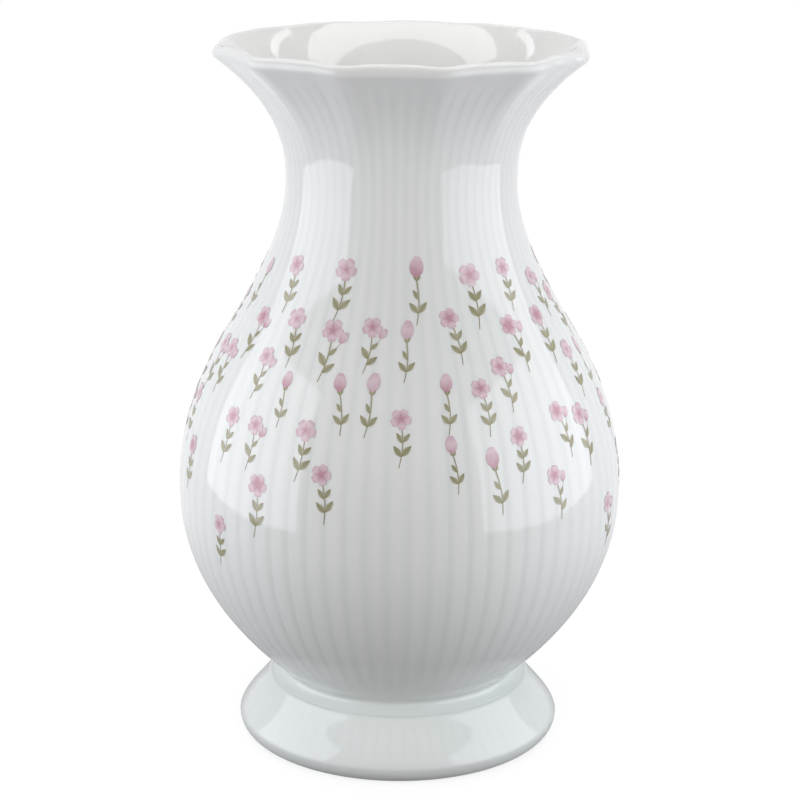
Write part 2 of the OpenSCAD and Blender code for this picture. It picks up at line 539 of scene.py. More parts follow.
@dataclass(frozen=True)
class Enamel(Coating):
    """Ceramic colour, screen-printed on a transfer and fired into the glaze.

    The eye sees watercolour-like shades that are as glossy as the glaze around them. The tint attribute
    runs from the heart or the midrib, 0, to the edge, 1.
    """

    shades: dict[float, str]
    # Width of the brush's washes and of the batches of colour, and how far each shifts the shade
    wash_mm: float = 1.1
    wash_detail: float = 2.0
    wash_share: float = 0.35
    batch_mm: float = 8.0
    batch_detail: float = 0.0
    batch_share: float = 1.0
    # The middle value of a noise, which shifts nothing
    middle: float = 0.5
    roughness: float = 0.09
    ior: float = 1.52

    def dress(self, tree: Tree, shader: Node, place: Socket) -> None:
        """Lays out the nodes.

        Args:
            tree: the material's node tree.
            shader: its Principled shader.
            place: the object's own coordinates.
        """
        tint = add_node(tree, "Attribute", attribute_name="tint").outputs["Fac"]
        wash = (self.wash_mm, self.wash_detail, self.wash_share)
        batch = (self.batch_mm, self.batch_detail, self.batch_share)
        for size, detail, share in (wash, batch):
            pattern = {"Vector": place, "Scale": 1 / (size * MM), "Detail": detail}
            cloud = add_node(tree, "TexNoise", pattern).outputs[0]
            level = add_node(tree, "Math", {0: cloud, 1: self.middle}, operation="SUBTRACT").outputs[0]
            tint = add_node(tree, "Math", {0: level, 1: share, 2: tint}, operation="MULTIPLY_ADD").outputs[0]
        tree.links.new(colour_ramp(tree, tint, self.shades), shader.inputs["Base Color"])
        glass_over(shader, self.roughness, self.ior, melt_normal(tree, place))


class Finish(Enum):
    """The finishes of the vase."""

    GLAZE = Glaze()
    # The melt stands thicker and a little greener on the foot and in the joint
    THICK_GLAZE = Glaze("thick_feldspar_glaze_on_porcelain", crest="#EAEDEC", cloud="#E7EBEA")
    BISCUIT = Biscuit()
    PETAL = Enamel("rose_enamel_print", {0.0: "#BE8E9B", 0.3: "#CEABB7", 0.7: "#DDC6CF", 1.0: "#D2B3BF"})
    LEAF = Enamel("olive_enamel_print", {0.0: "#8C8964", 0.5: "#A29E80", 1.0: "#B1AC92"})
    STEM = Enamel("moss_enamel_print", {0.0: "#918D6C", 1.0: "#A6A285"})

    def material(self) -> bpy.types.Material:
        """The finish's material, made on its first use."""
        return bpy.data.materials.get(self.value.name) or self.value.make()


def finish_piece(obj: Object, finish: Finish) -> None:
    """Shades and dresses a finished mesh and ties it to the frame.

    Args:
        obj: the piece.
        finish: what it is made of.
    """
    pick(obj)
    bpy.ops.object.shade_smooth_by_angle(angle=math.radians(CREASE_ANGLE))
    obj.data.materials.clear()
    obj.data.materials.append(finish.material())
    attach(obj, "root")
    LOG.info("%s: %d faces", obj.name, len(obj.data.polygons))


# The form


@dataclass(frozen=True)
class Station:
    """A place on the vessel's outline: height, radius and how fast the radius grows with height."""

    height: float
    radius: float
    slope: float


@dataclass(frozen=True)
class VaseForm:
    """The sizes of the whole vase, as the solids have them."""

    total_height: float = 200.0
    waist_diameter: float = 62.4
    belly_diameter: float = 126.2
    shoulder_diameter: float = 97.4
    shoulder_rise: float = 46.5
    neck_diameter: float = 64.4
    neck_rise: float = 42.2
    mouth_diameter: float = 101.6
    mouth_rise: float = 37.7
    lip_thickness: float = 3.9
    lobes: int = 12
    notch_depth: float = 1.1
    notch_dip: float = 0.5
    notch_turn: float = 12.0
    crease_length: float = 34.0
    inner_crease_length: float = 12.0
    lip_band: float = 5.4
    ribs_per_lobe: int = 6
    rib_depth: float = 0.25
    rib_fade: float = 5.0
    wall_thickness: float = 3.6
    floor_thickness: float = 5.0
    dome_depth: float = 4.0
    joint_thickness: float = 0.6
    fillet_height: float = 3.0
    seat_width: float = 3.8
    foot_height: float = 16.6
    foot_diameter: float = 93.0
    edge_height: float = 4.4
    ledge_width: float = 6.3
    edge_undercut: float = 2.7
    standing_width: float = 3.5
    reed_depth: float = 0.1
    waist_slope: float = 1.24
    shoulder_slope: float = -0.62
    mouth_slope: float = 1.28

    @cached_property
    def ribs(self) -> int:
        """Ribs all round."""
        return self.lobes * self.ribs_per_lobe

    @cached_property
    def waist_radius(self) -> float:
        """Radius of the vessel at its seat."""
        return self.waist_diameter / 2

    @cached_property
    def seat_inner_radius(self) -> float:
        """Radius of the seat's inner edge, on the vessel, the slip and the foot."""
        return self.waist_radius - self.seat_width

    @cached_property
    def ledge_radius(self) -> float:
        """Radius of the ledge at the top of the foot."""
        return self.waist_radius + self.ledge_width

    @cached_property
    def seat_height(self) -> float:
        """Height of the vessel's seat on the slip."""
        return self.foot_height + self.joint_thickness

    @cached_property
    def fillet_top(self) -> float:
        """Height where the slip's fillet ends on the vessel."""
        return self.seat_height + self.fillet_height

    @cached_property
    def neck_height(self) -> float:
        """Height of the narrowest place of the neck."""
        return self.total_height - self.mouth_rise

    @cached_property
    def lip_radius(self) -> float:
        """Radius of the round edge of the mouth."""
        return self.lip_thickness / 2

    @cached_property
    def lip_centre(self) -> Point:
        """Centre of the round edge of the mouth in the half section."""
        return self.mouth_diameter / 2 - self.lip_radius, self.total_height - self.lip_radius

    @cached_property
    def flare_angle(self) -> float:
        """Angle, in radians, at which the mouth's outside runs into the round edge."""
        return math.atan(self.mouth_slope)

    @cached_property
    def flare_top(self) -> Point:
        """Where the mouth's outside runs into the round edge."""
        return self.lip(-self.flare_angle)

    @cached_property
    def stations(self) -> list[Station]:
        """Joins the driving sizes into the outline.

        Returns:
            The stations from the seat to the edge of the mouth.
        """
        shoulder = self.neck_height - self.neck_rise
        flare_radius, flare_height = self.flare_top
        return [
            Station(self.seat_height, self.waist_radius, self.waist_slope),
            Station(shoulder - self.shoulder_rise, self.belly_diameter / 2, 0),
            Station(shoulder, self.shoulder_diameter / 2, self.shoulder_slope),
            Station(self.neck_height, self.neck_diameter / 2, 0),
            Station(flare_height, flare_radius, self.mouth_slope),
        ]

    def lip(self, angle: float) -> Point:
        """The point on the round edge of the mouth at an angle in radians from outwards."""
        radius, height = self.lip_centre
        return radius + self.lip_radius * math.cos(angle), height + self.lip_radius * math.sin(angle)

    def skin(self, height: float) -> Station:
        """Finds the outside at a height.

        Args:
            height: where the outline is asked for.

        Returns:
            The radius and the slope there.
        """
        stations = self.stations
        index = 0
        while index + 2 < len(stations) and height > stations[index + 1].height:
            index += 1
        low, high = stations[index], stations[index + 1]
        span = high.height - low.height
        t = part_of(height, low.height, high.height)
        a, d = low.radius, high.radius
        b, c = a + low.slope * span / 3, d - high.slope * span / 3
        return Station(height, sweep((a, b, c, d), t), bow(b - a, c - b, d - c, t) * 3 / span)

    def inside(self, height: float) -> Point:
        """Finds the point inside the wall that faces the outside at a height.

        Args:
            height: the height on the outside.

        Returns:
            The radius and the height of the point inside.
        """
        skin = self.skin(height)
        flared = part_of(height, self.neck_height, self.flare_top[1])
        wall = mix(self.wall_thickness, self.lip_thickness, flared**2)
        length = math.hypot(1, skin.slope)
        return skin.radius - wall / length, height + wall * skin.slope / length

    def bowl(self, rim: Point, drop: float, shares: Iterable[float]) -> list[Point]:
        """The points at shares of the radius of a shallow bowl, whose middle lies a drop below its rim."""
        return [(rim[0] * t, mix(rim[1] - drop, rim[1], t**3)) for t in shares]

    def turn_lobe(self, name: str, profile: Sequence[Point], columns: int) -> Object:
        """Turns a half section through one lobe, from notch to notch."""
        return turned(name, profile, columns, self.notch_turn, 360 / self.lobes)


@dataclass(frozen=True)
class MouldRelief:
    """What the mould's carving leaves in the skin: ribs, and notches between the lobes of the mouth."""

    form: VaseForm
    valley_power: float = 1.6
    notch_power: float = 2.0
    notch_middle: float = 0.99999
    lobe_fade_power: float = 1.6
    dip_fade_power: float = 3.0
    pinch_radius: float = 1.0
    # How dark the colour stands in the crease above the foot and how far up that reaches: thicker glaze and
    # painted shade
    crease_pool_and_shade: float = 0.35
    crease_pool_and_shade_height: float = 14.0

    def angle(self, place: Vector) -> float:
        """The angle of a place from the first notch, in radians."""
        return math.atan2(place.y, place.x) - math.radians(self.form.notch_turn)

    def outside(self, place: Vector) -> bool:
        """Whether a place lies on the vessel's outside and not inside its wall."""
        skin = self.form.skin(place.z)
        return math.hypot(place.x, place.y) > skin.radius - self.form.wall_thickness / 2

    def valley(self, place: Vector) -> float:
        """How deep a place lies in the valley between two ribs, from 0 on the crest to 1."""
        return (1 - abs(math.sin(self.angle(place) * self.form.ribs / 2))) ** self.valley_power

    def notch(self, place: Vector) -> float:
        """How deep a place lies in the notch between two lobes, from 0 at the lobe's middle to 1."""
        return ((1 + math.cos(self.angle(place) * self.form.lobes)) / 2) ** self.notch_power

    def rib_share(self, height: float) -> float:
        """Tells how far the ribs have risen at a height.

        Args:
            height: the height on the vessel.

        Returns:
            The share of their depth, from 0 where they fade out to 1.
        """
        above = part_of(height - self.form.fillet_top, 0, self.form.rib_fade)
        below = part_of(self.form.total_height - self.form.lip_band - height, 0, self.form.rib_fade)
        return ease(above) * ease(below)

    def pool_share(self, place: Vector) -> float:
        """Tells how thick the glaze has run together: in the valleys, and in the crease above the foot.

        The darker colour there is also painted shade.

        Args:
            place: a place on the vessel.

        Returns:
            The share, from 0 on a crest to 1.
        """
        if not self.outside(place):
            return 0.0
        # Darker colour in each rib's valley and in the crease above the seat: thicker glaze, and painted
        # shade
        valley = self.rib_share(place.z) * (1 + math.cos(self.angle(place) * self.form.ribs)) / 2
        low = 1 - part_of(place.z - self.form.seat_height, 0, self.crease_pool_and_shade_height)
        return mix(valley, self.crease_pool_and_shade, ease(low))

    def rib_weight(self, place: Vector) -> float:
        """Tells how much of the ribs' depth is cut away at a place: less where the ribs are narrow.

        Args:
            place: a place on the vessel.

        Returns:
            The share of the depth.
        """
        if not self.outside(place):
            return 0.0
        width = self.form.skin(place.z).radius / (self.form.belly_diameter / 2)
        return self.rib_share(place.z) * width**2 * self.valley(place)

    def pinch_weight(self, place: Vector) -> float:
        """Tells how far a place is drawn in towards the axis, in the notch and in the crease below it.

        Args:
            place: a place on the vessel.

        Returns:
            The share of its own radius.
        """
        form = self.form
        length = form.crease_length if self.outside(place) else form.inner_crease_length
        share = part_of(place.z, form.total_height - length, form.total_height) ** self.lobe_fade_power
        inset = form.notch_depth * share * self.notch(place)
        return inset / (math.hypot(place.x, place.y) - self.pinch_radius) if share else 0.0

    def dip_weight(self, place: Vector) -> float:
        """The share of the dip's depth by which a place is let down."""
        share = part_of(place.z, self.form.total_height - self.form.crease_length, self.form.total_height)
        return share**self.dip_fade_power * self.notch(place)

    def melt(self, place: Vector, plain: Vector, lobed: Vector) -> Vector:
        """Tells how the glaze faces: it follows the lobes outside, and levels them inside below the lip.

        Args:
            place: a place on the vessel.
            plain: the facing of the round skin there.
            lobed: the facing of the skin with its lobes.

        Returns:
            The outward, sideways and upward shares of the glaze's facing.
        """
        form = self.form
        if self.notch(place) > self.notch_middle:
            lobed = Vector((lobed.x, 0, lobed.z))
        rim = form.mouth_diameter / 2
        across = part_of(math.hypot(place.x, place.y), rim - form.lip_thickness, rim)
        on_lip = place.z > form.total_height - form.lip_thickness
        share = ease(across) if on_lip else float(self.outside(place))
        return Vector((plain.x, 0, plain.z)).lerp(lobed, share).normalized()

    def press(self, obj: Object) -> None:
        """Presses the ribs and the notches into a smooth skin, or into a print that lies on it.

        Args:
            obj: the skin or the print.
        """
        places = [vertex.co / MM for vertex in obj.data.vertices]
        weights = {"rib": self.rib_weight, "pinch": self.pinch_weight, "dip": self.dip_weight}
        for name, weight_at in weights.items():
            weigh(obj, name, map(weight_at, places))
        # The darker colour in the valleys and the crease, for thicker glaze and as painted shade
        store(obj, "pool", [self.pool_share(place) for place in places])
        plain = facings(obj)
        pinch = {"cast_type": "CYLINDER", "use_z": False, "factor": 1, "size": self.pinch_radius * MM}
        apply_modifier(obj, "CAST", vertex_group="pinch", **pinch)
        push_in(obj, "dip", self.form.notch_dip, "Z")
        store_melt(obj, [self.melt(*at) for at in zip(places, plain, facings(obj))])
        push_in(obj, "rib", self.form.rib_depth, "NORMAL")
        obj.vertex_groups.clear()


# The pieces


@dataclass
class Vessel:
    """The cast vessel, from its hidden underside over the lip to the floor inside."""

    form: VaseForm
    relief: MouldRelief
    lobe_columns: int = 48
    outside_rows: tuple[int, ...] = (18, 20, 20, 24)
    lip_rows: int = 16
    inside_rows: int = 44
    floor_rows: int = 8
    lobe: Object | None = None
    smooth: Object | None = None

    def profile(self) -> list[Point]:
        """Draws the half section.

        Returns:
            Its points, from the middle of the underside to the middle of the floor.
        """
        form = self.form
        dome = form.seat_inner_radius - form.joint_thickness, form.seat_height
        points = form.bowl(dome, form.dome_depth, steps(self.floor_rows, 0))
        points.append((form.waist_radius, form.seat_height))
        for low, high, count in zip(form.stations, form.stations[1:], self.outside_rows):
            heights = [mix(low.height, high.height, t) for t in steps(count)]
            points += [(form.skin(height).radius, height) for height in heights]
        points += [form.lip(math.pi * t - form.flare_angle) for t in steps(self.lip_rows)]
        points += [form.inside(mix(form.flare_top[1], form.fillet_top, t)) for t in steps(self.inside_rows)]
        edge = points[-1]
        drop = edge[1] - (form.seat_height - form.dome_depth + form.floor_thickness)
        return points + form.bowl(edge, drop, (1 - t for t in steps(self.floor_rows)))

    def turn(self) -> None:
        """Turns one smooth lobe, and from it the smooth skin that the prints are laid on."""
        self.lobe = self.form.turn_lobe("lobe", self.profile(), self.lobe_columns)
        self.smooth = ring_of("smooth_skin", self.lobe, self.form.lobes)

    def build(self) -> None:
        """Presses the relief into the lobe, copies it all round and glazes the vessel."""
        self.relief.press(self.lobe)
        piece = ring_of("vessel", self.lobe, self.form.lobes)
        remove(self.lobe, self.smooth)
        finish_piece(piece, Finish.GLAZE)
        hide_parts("body")


@dataclass
class SlipFillet:
    """The slip between vessel and foot, wiped to a hollow fillet."""

    form: VaseForm
    lobe_columns: int = 24
    fillet_rows: int = 12
    toe_share: float = 0.92
    bow_share: float = 0.23
    bow_rise: float = 1.15
    sink: float = 0.05
    # The fillet lies in the crease and takes all of the darker colour: thicker glaze, and painted shade
    pool: float = 1.0

    def profile(self) -> list[Point]:
        """Draws the section.

        Returns:
            Its points, all round and back to the first.
        """
        form = self.form
        top = form.skin(form.fillet_top).radius
        toe = mix(top, form.ledge_radius, self.toe_share)
        hollow = mix(form.waist_radius, toe, self.bow_share)
        start, rise, end = form.foot_height - self.sink, form.seat_height + self.bow_rise, form.fillet_top
        points = [(bow(toe, hollow, top, t), bow(start, rise, end, t)) for t in steps(self.fillet_rows, 0)]
        inner, seat = form.seat_inner_radius, form.seat_height
        return [(inner, start), *points, (form.waist_radius, seat), (inner, seat), (inner, start)]

    def build(self) -> None:
        """Turns and glazes the fillet."""
        sector = self.form.turn_lobe("fillet_sector", self.profile(), self.lobe_columns)
        piece = ring_of("slip_fillet", sector, self.form.lobes)
        remove(sector)
        store(piece, "pool", [self.pool] * len(piece.data.vertices))
        store_melt(piece, facings(piece))
        finish_piece(piece, Finish.THICK_GLAZE)
        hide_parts("slip_joint")


@dataclass
class Foot:
    """The hollow flared foot with its fine reeds and its bare standing face."""

    form: VaseForm
    relief: MouldRelief
    lobe_columns: int = 48
    corner: float = 1.1
    corner_rows: int = 6
    corner_search: int = 200
    flare_rows: int = 26
    edge_rows: int = 10
    standing_rows: int = 3
    recess_rows: int = 18
    top_rows: int = 4
    # How the flare runs out and down and the recess in and up, as shares of the whole way
    flare_out: tuple[float, ...] = (0, 0.165, 0.934, 1)
    flare_down: tuple[float, ...] = (0, 0.246, 0.754, 1)
    recess_in: tuple[float, ...] = (0, 0.1, 0.5, 1)
    recess_up: tuple[float, ...] = (0, 0.3, 0.78, 1)
    # How much taller than the edge the ellipse is that rounds it
    edge_under: float = 1.08
    # How thick the glaze lies on the flare, and how much thicker in the crease and in the reeds; there its
    # darker colour is also painted shade
    flare_pool: float = 0.35
    crease_pool_and_shade: float = 0.65
    crease_pool_and_shade_width: float = 4.0
    reed_pool_and_shade: float = 0.4
    # The share of the flare over which the reeds fade in at the top and out at the bottom
    reed_fade: float = 1 / 3
    # A face this low, in millimetres, whose normal points down this far, is the standing face
    standing_slack: float = 0.02
    standing_tilt: float = -0.9

    def flare(self, t: float) -> Point:
        """The point on the flare at a share t of the way from the ledge to the widest place."""
        radius = mix(self.form.ledge_radius, self.form.foot_diameter / 2, sweep(self.flare_out, t))
        return radius, mix(self.form.foot_height, self.form.edge_height, sweep(self.flare_down, t))

    def edge(self, angle: float) -> Point:
        """Finds a point on the rounded lower edge, part of an ellipse that ends where it meets the table.

        Args:
            angle: how far below the widest place it lies, in radians.

        Returns:
            The radius and the height of the point.
        """
        form = self.form
        width = form.edge_undercut / (1 - math.sqrt(1 - 1 / self.edge_under**2))
        radius = form.foot_diameter / 2 - width * (1 - math.cos(angle))
        return radius, form.edge_height * (1 - self.edge_under * math.sin(angle))

    def profile(self) -> list[Point]:
        """Draws the half section.

        Returns:
            Its points, from the top of the recess down and out, and up the flare to the top.
        """
        form = self.form
        inner, ledge, top = form.seat_inner_radius, form.ledge_radius, form.foot_height
        shelf = ledge - self.corner
        start = next(t for t in steps(self.corner_search, 0) if top - self.flare(t)[1] > self.corner)
        radius, height = self.flare(start)
        standing = form.foot_diameter / 2 - form.edge_undercut
        recess = standing - form.standing_width
        points = [(mix(inner, shelf, t), top) for t in steps(self.top_rows, 0)]
        points += [(bow(shelf, ledge, radius, t), bow(top, top, height, t)) for t in steps(self.corner_rows)]
        points += [self.flare(mix(start, 1, t)) for t in steps(self.flare_rows)]
        points += [self.edge(math.asin(1 / self.edge_under) * t) for t in steps(self.edge_rows)]
        points += [(mix(standing, recess, t), 0.0) for t in steps(self.standing_rows)]
        points += [
            (mix(recess, inner, sweep(self.recess_in, t)), mix(0, top, sweep(self.recess_up, t)))
            for t in steps(self.recess_rows)
        ]
        return points[::-1]

    def pool_share(self, place: Vector, reed: float) -> float:
        """Tells how thick the glaze lies: most in the crease at the top, less down the flare.

        The darker colour in the crease and in the reeds is also painted shade.

        Args:
            place: a place on the foot.
            reed: how deep it lies between two reeds.

        Returns:
            The share, up to 1.
        """
        out = math.hypot(place.x, place.y) - self.form.ledge_radius
        crease = ease(1 - part_of(out, -self.corner, self.crease_pool_and_shade_width))
        return min(1.0, self.flare_pool + self.crease_pool_and_shade * crease + self.reed_pool_and_shade * reed)

    def reed_weight(self, place: Vector) -> float:
        """Tells how much of the reeds' depth is cut away at a place.

        Args:
            place: a place on the foot.

        Returns:
            The share of the depth.
        """
        form = self.form
        t = part_of(form.foot_height - place.z, 0, form.foot_height - form.edge_height)
        if not 0 < t < 1 or math.hypot(place.x, place.y) < form.waist_radius + form.ledge_width / 2:
            return 0.0
        fade = ease(part_of(t, 0, self.reed_fade)) * ease(part_of(1 - t, 0, self.reed_fade))
        return fade * self.relief.valley(place)

    def build(self) -> None:
        """Turns the foot, presses its reeds, and glazes all but the standing face."""
        sector = self.form.turn_lobe("foot_sector", self.profile(), self.lobe_columns)
        places = [vertex.co / MM for vertex in sector.data.vertices]
        reeds = [self.reed_weight(place) for place in places]
        weigh(sector, "reed", reeds)
        # The darker colour of thicker glaze, which is also painted shade in the crease and the reeds
        store(sector, "pool", [self.pool_share(*at) for at in zip(places, reeds)])
        store_melt(sector, [Vector((share.x, 0, share.z)).normalized() for share in facings(sector)])
        push_in(sector, "reed", self.form.reed_depth, "NORMAL")
        sector.vertex_groups.clear()
        piece = ring_of("foot_ring", sector, self.form.lobes)
        remove(sector)
        finish_piece(piece, Finish.THICK_GLAZE)
        piece.data.materials.append(Finish.BISCUIT.material())
        for face in piece.data.polygons:
            standing = face.center.z < self.standing_slack * MM and face.normal.z < self.standing_tilt
            face.material_index = int(standing)
        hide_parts("foot")


# The print


@dataclass(frozen=True)
class Growth:
    """Where something grows on a sprig. Heights are measured up from the stem's foot, or from its tip."""

    height: float
    turn: float
    size: float
    shift: float = 0.0
    at_tip: bool = False


@dataclass(frozen=True)
class Habit:
    """What grows on a kind of sprig besides its main stem, and how often the kind is drawn."""

    weight: int
    leaves: tuple[Growth, ...]
    blossoms: tuple[Growth, ...] = ()
    buds: tuple[Growth, ...] = ()
    stems: tuple[Growth, ...] = ()


class Kind(Enum):
    """The sprigs of the print: with an open blossom, with a blossom and a side bud, and with a bud."""

    OPEN = Habit(
        weight=5,
        leaves=(Growth(3.2, 38, 0.9), Growth(3.4, -40, 0.95), Growth(7.0, 34, 0.8), Growth(7.3, -36, 0.75)),
        blossoms=(Growth(1.2, 12, 1, at_tip=True),),
    )
    PAIR = Habit(
        weight=3,
        leaves=(Growth(2.6, -42, 0.95), Growth(4.4, 40, 1.0), Growth(7.2, -36, 0.7)),
        blossoms=(Growth(1.2, 12, 1, at_tip=True),),
        buds=(Growth(11.0, -28, 0.72, shift=2.3),),
        stems=(Growth(7.6, -34, 0.34),),
    )
    BUD = Habit(
        weight=3,
        leaves=(
            Growth(3.0, 40, 0.85),
            Growth(3.1, -38, 0.85),
            Growth(6.4, 30, 0.7),
            Growth(-1.3, 24, 0.45, at_tip=True),
            Growth(-1.3, -30, 0.45, at_tip=True),
        ),
        buds=(Growth(-0.3, -4, 1.15, at_tip=True),),
    )


@dataclass
class PrintShapes:
    """The flat shapes of the print, each modelled once: a blossom, a bud, a leaf and a stem."""

    petals: int = 5
    blossom_radius: float = 3.0
    heart_share: float = 0.26
    petal_rings: tuple[float, ...] = (0.6, 0.86, 1.0)
    # The share of a ring's radius from which a vertex counts as on it
    on_ring: float = 0.98
    # What the clefts between the petals leave of the rim and of the ring below it, where those two
    # begin and how far they reach, and how much of a petal's turn a cleft takes to either side
    cleft_shares: Pair = (0.74, 0.87)
    cleft_rings: Pair = (0.98, 0.8)
    cleft_reach: float = 0.12
    cleft_turn: float = 1 / 16
    # How far the tint falls in a cleft, and where it starts to rise: at a share of the blossom's radius
    # and at a length along the bud
    cleft_tint: float = 0.25
    heart_tint_start: float = 0.1
    bud_tint_start: float = -0.5
    # The share of its width over which a leaf's tint runs from the midrib to full
    leaf_tint_reach: float = 0.4
    leaf_length: float = 4.2
    leaf_width: float = 1.9
    leaf_rows: tuple[float, ...] = (0.1, 0.62, 0.95, 1.0, 0.8, 0.46, 0.06)
    bud_length: float = 4.5
    bud_width: float = 3.1
    bud_rows: tuple[float, ...] = (0.3, 0.85, 1.0, 0.95, 0.72, 0.35)
    stem_length: float = 12.5
    stem_width: float = 0.42
    stem_foot_share: float = 0.55
    stem_rows: int = 12
    stem_bow: float = 0.7

    def select_row(self, obj: Object, height: float) -> None:
        """Selects the vertices of an open shape that lie at one height."""
        select_points(obj, lambda place: abs(place.y - height) < SAME_ROW)

    def grid(self, name: str, width: float, length: float, rows: Sequence[float], across: int) -> Object:
        """Shapes a flat grid row by row into a leaf, a bud or a stem that starts at the origin.

        Args:
            name: the new object's name.
            width: full width in millimetres.
            length: length along +Y in millimetres.
            rows: the share of the full width at each row.
            across: how many faces lie side by side.

        Returns:
            The flat shape.
        """
        deselect_all()
        count = len(rows) - 1
        middle = (0, length / 2 * MM, 0)
        bpy.ops.mesh.primitive_grid_add(x_subdivisions=across, y_subdivisions=count, size=1, location=middle)
        obj = bpy.context.object
        obj.name = obj.data.name = name
        obj.scale = (width * MM, length * MM, 1)
        bpy.ops.object.transform_apply(location=True, rotation=False, scale=True)
        enter_edit(obj)
        for i, share in enumerate(rows):
            height = length * i / count
            self.select_row(obj, height)
            bpy.ops.transform.resize(value=(share, 1, 1), center_override=(0, height * MM, 0))
        leave_edit()
        return obj

    def tint(self, obj: Object, tint_at: Callable[[Vector], float]) -> Object:
        """Stores the tint attribute of a flat shape and gives the shape back."""
        store(obj, "tint", [tint_at(vertex.co / MM) for vertex in obj.data.vertices])
        return obj

    def in_cleft(self, place: Vector) -> bool:
        """Whether a place lies on the line between two petals."""
        turn = math.tau / self.petals
        return abs(math.remainder(math.atan2(place.x, place.y), turn)) < turn * self.cleft_turn

    def blossom(self) -> Object:
        """Models an open blossom round the origin: a heart, a ring and petals parted by clefts.

        Returns:
            The flat shape.
        """
        size = self.blossom_radius
        deselect_all()
        heart = size * self.heart_share * MM
        bpy.ops.mesh.primitive_circle_add(vertices=self.petals * 4, radius=heart, fill_type="TRIFAN")
        obj = bpy.context.object
        obj.name = obj.data.name = "blossom_shape"
        enter_edit(obj)
        for inner, outer in zip((self.heart_share, *self.petal_rings), self.petal_rings):
            select_points(obj, lambda place: place.length > size * inner * self.on_ring)
            bpy.ops.mesh.extrude_region_move(TRANSFORM_OT_translate={"value": (0, 0, 0)})
            factor = outer / inner
            bpy.ops.transform.resize(value=(factor, factor, 1), center_override=(0, 0, 0))
        for ring, share in zip(self.cleft_rings, self.cleft_shares):
            reach = (ring * size, (ring + self.cleft_reach) * size)
            select_points(obj, lambda place: reach[0] < place.length < reach[1] and self.in_cleft(place))
            bpy.ops.transform.resize(value=(share, share, 1), center_override=(0, 0, 0))
        bpy.ops.mesh.select_all(action="SELECT")
        bpy.ops.mesh.normals_make_consistent(inside=False)
        leave_edit()
        start, cleft = self.heart_tint_start, self.cleft_tint
        return self.tint(obj, lambda at: part_of(at.length / size, start, 1.0) - cleft * self.in_cleft(at))

    def leaf(self) -> Object:
        """A pointed leaf that grows from the origin along +Y, with its midrib in the middle."""
        obj = self.grid("leaf_shape", self.leaf_width, self.leaf_length, self.leaf_rows, 2)
        return self.tint(obj, lambda at: part_of(abs(at.x), 0, self.leaf_tint_reach * self.leaf_width))

    def bud(self) -> Object:
        """A closed bud that grows from the origin along +Y."""
        obj = self.grid("bud_shape", self.bud_width, self.bud_length, self.bud_rows, 2)
        return self.tint(obj, lambda place: part_of(place.y, self.bud_tint_start, self.bud_length))

    def stem(self) -> Object:
        """Models a thin stem that grows from the origin along +Y in a slight bow.

        Returns:
            The flat shape.
        """
        rows = [mix(self.stem_foot_share, 1.0, t) for t in steps(self.stem_rows, 0)]
        obj = self.grid("stem_shape", self.stem_width, self.stem_length, rows, 1)
        enter_edit(obj)
        for t in steps(self.stem_rows)[:-1]:
            self.select_row(obj, self.stem_length * t)
            bpy.ops.transform.translate(value=(self.bend(self.stem_length * t) * MM, 0, 0))
        leave_edit()
        return self.tint(obj, lambda place: part_of(place.y, 0, self.stem_length))

    def bend(self, height: float) -> float:
        """How far the stem stands to the side at a height."""
        return self.stem_bow * math.sin(math.pi * height / self.stem_length)

    def place(self, growth: Growth) -> Matrix:
        """Places what grows on a sprig.

        Args:
            growth: where it grows.

        Returns:
            Its place on a sprig whose stem has its middle at the origin.
        """
        height = growth.height + self.stem_length * growth.at_tip
        side = self.bend(height) + growth.shift
        drop = Matrix.Translation((0, -self.stem_length / 2 * MM, 0))
        move = Matrix.Translation((side * MM, height * MM, 0))
        turn = Matrix.Rotation(math.radians(growth.turn), 4, "Z")
        return drop @ move @ turn @ Matrix.Scale(growth.size, 4)

    def sprigs(self) -> dict[Kind, dict[str, Object]]:
        """Lays out one flat sprig of each kind, growing along +Y through the origin.

        Returns:
            The stem, the leaves and the flowers of each kind, as flat objects.
        """
        shapes = {"stem": self.stem(), "leaf": self.leaf(), "blossom": self.blossom(), "bud": self.bud()}
        sprigs = {}
        for kind in Kind:
            habit = kind.value
            layers = {
                "stem": {"stem": (Growth(0, 0, 1), *habit.stems)},
                "leaf": {"leaf": habit.leaves},
                "flower": {"blossom": habit.blossoms, "bud": habit.buds},
            }
            sprigs[kind] = {}
            for layer, grown in layers.items():
                copies = [
                    copy_of(shapes[name], self.place(growth)) for name in grown for growth in grown[name]
                ]
                sprigs[kind][layer] = join(f"{kind.name}_{layer}", copies)
        remove(*shapes.values())
        return sprigs


